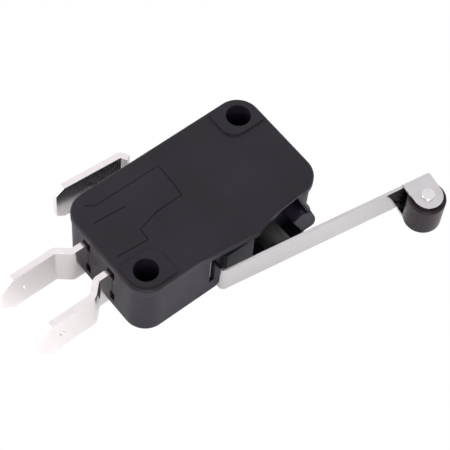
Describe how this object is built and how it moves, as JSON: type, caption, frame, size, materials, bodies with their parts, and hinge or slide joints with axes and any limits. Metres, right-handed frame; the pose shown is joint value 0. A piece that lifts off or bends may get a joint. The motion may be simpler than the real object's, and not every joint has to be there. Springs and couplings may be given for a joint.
{
  "type": "lever micro switch",
  "caption": "Snap-action micro switch with a long hinged roller lever, quick-connect tabs and two diagonal mounting holes.",
  "frame": {"origin": "axis of the mounting hole beside the two end tabs, on the case's flat back face", "axes": "+Z out of the back towards the cover, along the mounting holes; +X from the end tabs towards the roller; +Y from the lever side towards the common tab"},
  "size_m": [0.0512, 0.0304, 0.0103],
  "materials": {
    "case_resin": "semi-matt moulded",
    "cover_resin": "matt moulded",
    "tab_metal": "bright tin plate",
    "contact_silver": "silver alloy",
    "arm_copper": "bright copper alloy",
    "spring_steel": "bright wire",
    "rocker_resin": "matt moulded",
    "plunger_resin": "semi-matt moulded",
    "lever_steel": "satin stainless",
    "roller_resin": "semi-gloss",
    "pin_steel": "polished rivet"
  },
  "bodies": {
    "case_body": {"case_tub": "case_resin", "cover": "cover_resin", "common_terminal": "tab_metal", "nc_terminal": "tab_metal", "no_terminal": "tab_metal", "nc_contact": "contact_silver", "no_contact": "contact_silver"},
    "lever_body": {"lever": "lever_steel", "roller_pin": "pin_steel"},
    "roller_body": {"roller": "roller_resin"},
    "plunger_body": {"plunger": "plunger_resin"},
    "rocker_body": {"rocker": "rocker_resin"},
    "arm_body": {"contact_arm": "arm_copper", "moving_contact": "contact_silver", "snap_spring": "spring_steel"}
  },
  "joints": [
    {"name": "lever_hinge", "type": "hinge", "parent": "case_body", "child": "lever_body", "pos_m": [0.0082, -0.0019, 0.005], "axis": [0, 0, 1], "range_deg": [0, 10.3], "stiffness_Nm_per_rad": 0.06, "springref_deg": -14.32},
    {"name": "roller_spin", "type": "hinge", "parent": "lever_body", "child": "roller_body", "pos_m": [0.0346, -0.0115, 0.005], "axis": [0, 0, 1], "continuous": true},
    {"name": "plunger_slide", "type": "slide", "parent": "case_body", "child": "plunger_body", "axis": [0, 1, 0], "range_m": [0, 0.0016]},
    {"name": "rocker_hinge", "type": "hinge", "parent": "case_body", "child": "rocker_body", "pos_m": [0.0208, 0.0021, 0.005], "axis": [0, 0, -1], "range_deg": [0, 22.6]},
    {"name": "arm_hinge", "type": "hinge", "parent": "case_body", "child": "arm_body", "pos_m": [0.0144, 0.0062, 0.005], "axis": [0, 0, -1], "range_deg": [0, 2.65], "deforming": ["snap_spring"]}
  ],
  "couplings": [
    {"joint": "plunger_slide", "follows": "lever_hinge", "m_per_rad": 0.00878},
    {"joint": "rocker_hinge", "follows": "lever_hinge", "ratio": 2.184},
    {"joint": "arm_hinge", "follows": "lever_hinge", "ratio": 0.2524}
  ]
}
